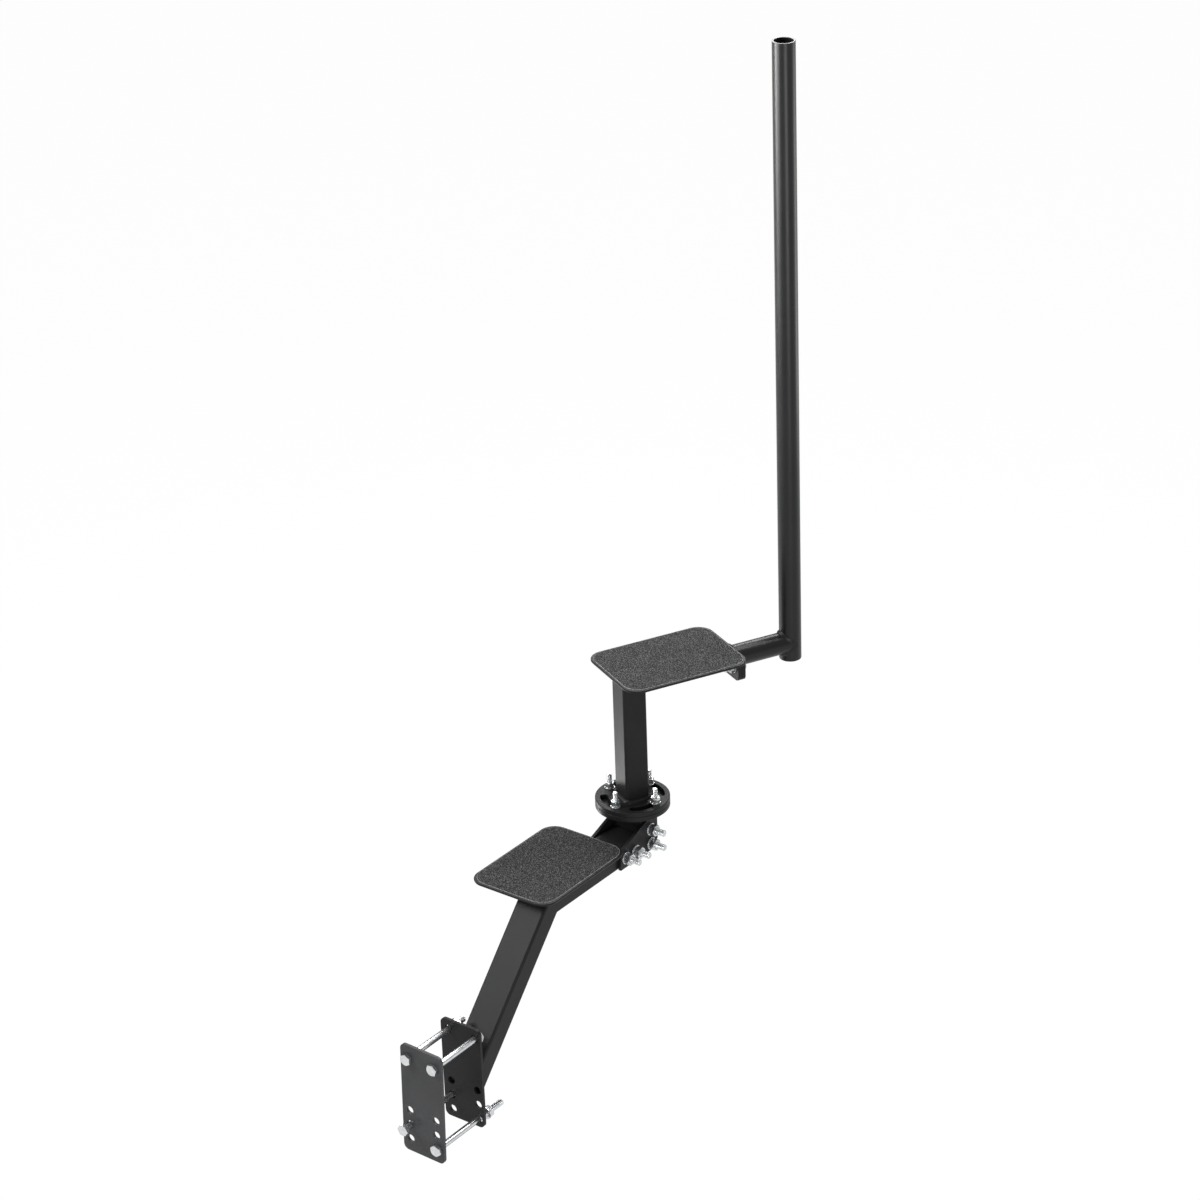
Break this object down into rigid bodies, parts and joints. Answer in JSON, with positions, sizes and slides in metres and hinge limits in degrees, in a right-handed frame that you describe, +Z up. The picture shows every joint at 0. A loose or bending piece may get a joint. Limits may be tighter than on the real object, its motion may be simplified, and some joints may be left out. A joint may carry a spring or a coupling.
{
  "type": "trailer boarding step",
  "caption": "Boarding step for a boat trailer: plate clamp, bent tube arm, lower and upper grip treads, slotted swivel flange and a tall tubular handrail.",
  "frame": {"origin": "clamping face of the back plate, midway between the two upper clamp bolts", "axes": "+X along the trailer tongue, +Y outward from the tongue towards the steps, +Z up"},
  "size_m": [0.2495, 0.8301, 1.5358],
  "materials": {
    "black_coat": "satin powder coat",
    "grit": "coarse grit",
    "zinc": "bright zinc plating"
  },
  "bodies": {
    "base": {"back_plate": "black_coat", "arm_sloping": "black_coat", "arm_level": "black_coat", "lower_step": "black_coat", "knuckle_plate_left": "black_coat", "knuckle_plate_right": "black_coat", "swivel_stub": "black_coat", "lower_disc": "black_coat", "lower_tread": "grit", "clamp_bolts": "zinc", "clamp_washers": "zinc", "clamp_nuts": "zinc", "knuckle_bolts": "zinc", "knuckle_washers": "zinc", "knuckle_lock_washers": "zinc", "knuckle_nuts": "zinc", "swivel_bolts": "zinc", "swivel_washers": "zinc", "swivel_lock_washers": "zinc", "swivel_nuts": "zinc"},
    "clamp_jaw": {"front_plate": "black_coat"},
    "upper": {"upper_disc": "black_coat", "post": "black_coat", "upper_step": "black_coat", "upper_tread": "grit", "rail_tab": "black_coat", "rail_base": "black_coat", "rail_bolts": "zinc", "rail_washers": "zinc", "rail_nuts": "zinc", "rail": "black_coat", "pole": "black_coat"}
  },
  "joints": [
    {"name": "clamp_slide", "type": "slide", "parent": "base", "child": "clamp_jaw", "axis": [0, 1, 0], "range_m": [0, 0.04]},
    {"name": "upper_swivel", "type": "hinge", "parent": "base", "child": "upper", "pos_m": [0, 0.44, 0.195], "axis": [0, 0, 1], "range_deg": [0, 52]}
  ]
}
